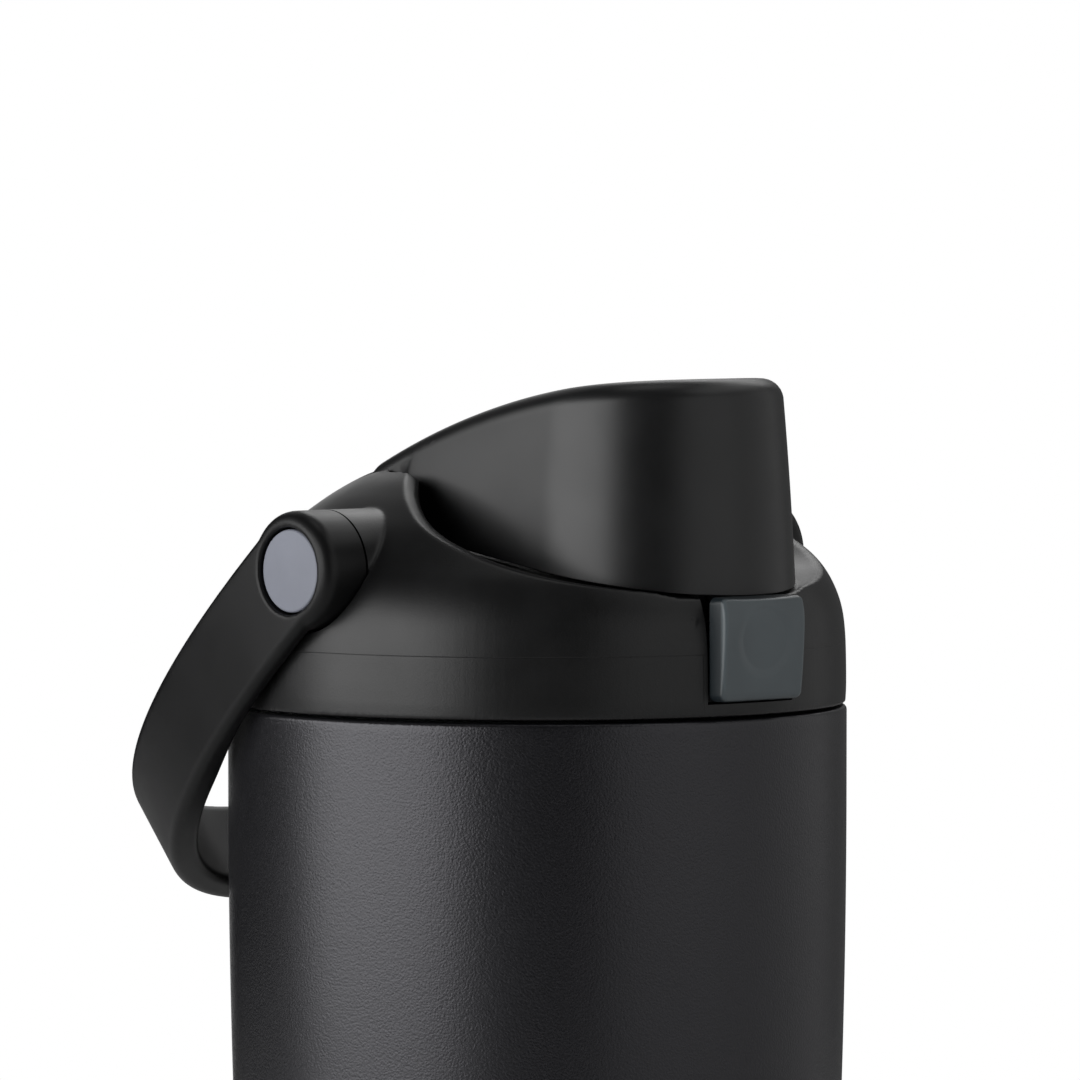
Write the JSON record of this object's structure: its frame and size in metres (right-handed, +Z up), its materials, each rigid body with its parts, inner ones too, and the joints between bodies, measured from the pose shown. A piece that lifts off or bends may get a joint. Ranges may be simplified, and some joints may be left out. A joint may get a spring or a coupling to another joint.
{
  "type": "insulated flip-lid bottle",
  "caption": "Insulated steel drinking bottle with a screw-on domed lid, push-button flip cap over a spout, and a swinging bail handle on side pivots.",
  "frame": {"origin": "centre of the flat base, on the bottle's axis", "axes": "+Z up along the bottle's axis; -Y towards the push button; +X along the handle's pivots"},
  "size_m": [0.1024, 0.1144, 0.257],
  "materials": {
    "powder_coat": "fine textured powder coat",
    "steel": "satin",
    "collar_plastic": "fine matte texture",
    "cap_plastic": "satin",
    "handle_plastic": "satin",
    "disc_plastic": "fine matte texture",
    "button_plastic": "satin",
    "inner_plastic": "satin",
    "silicone": "matte",
    "straw_plastic": "smooth"
  },
  "bodies": {
    "bottle": {"outer_shell": "powder_coat", "inner_liner": "steel", "base_plate": "powder_coat", "vacuum_seal": "steel", "getter": "steel"},
    "gasket": {"lid_gasket": "silicone"},
    "lid": {"lid_shell": "collar_plastic", "lid_plug": "inner_plastic", "vent_valve": "silicone", "spout": "silicone", "spout_seal": "silicone", "straw": "straw_plastic", "hinge_pin": "steel", "hinge_spring": "steel", "button_spring": "steel", "pivot_screw_left": "steel", "pivot_screw_right": "steel", "pivot_bush_left": "inner_plastic", "pivot_bush_right": "inner_plastic"},
    "cap": {"cap_shell": "cap_plastic", "cap_liner": "inner_plastic", "cap_seal": "silicone"},
    "button": {"push_button": "button_plastic", "latch_slider": "inner_plastic"},
    "handle": {"handle": "handle_plastic", "pivot_cover_left": "disc_plastic", "pivot_cover_right": "disc_plastic"}
  },
  "joints": [
    {"name": "lid_rise", "type": "slide", "parent": "bottle", "child": "gasket", "axis": [0, 0, 1], "range_m": [0, 0.0101]},
    {"name": "lid_turn", "type": "hinge", "parent": "gasket", "child": "lid", "pos_m": [0, 0, 0.206], "axis": [0, 0, 1], "range_deg": [0, 900]},
    {"name": "cap_hinge", "type": "hinge", "parent": "lid", "child": "cap", "pos_m": [0, 0.0128, 0.2408], "axis": [-1, 0, 0], "range_deg": [0, 110]},
    {"name": "button_press", "type": "slide", "parent": "lid", "child": "button", "axis": [0, 1, 0], "range_m": [0, 0.002], "stiffness_N_per_m": 800, "deforming": ["button_spring"]},
    {"name": "handle_swing", "type": "hinge", "parent": "lid", "child": "handle", "pos_m": [0, 0.0005, 0.228], "axis": [1, 0, 0], "range_deg": [0, 260]}
  ],
  "couplings": [
    {"joint": "lid_rise", "follows": "lid_turn", "m_per_rad": 0.00063662}
  ]
}
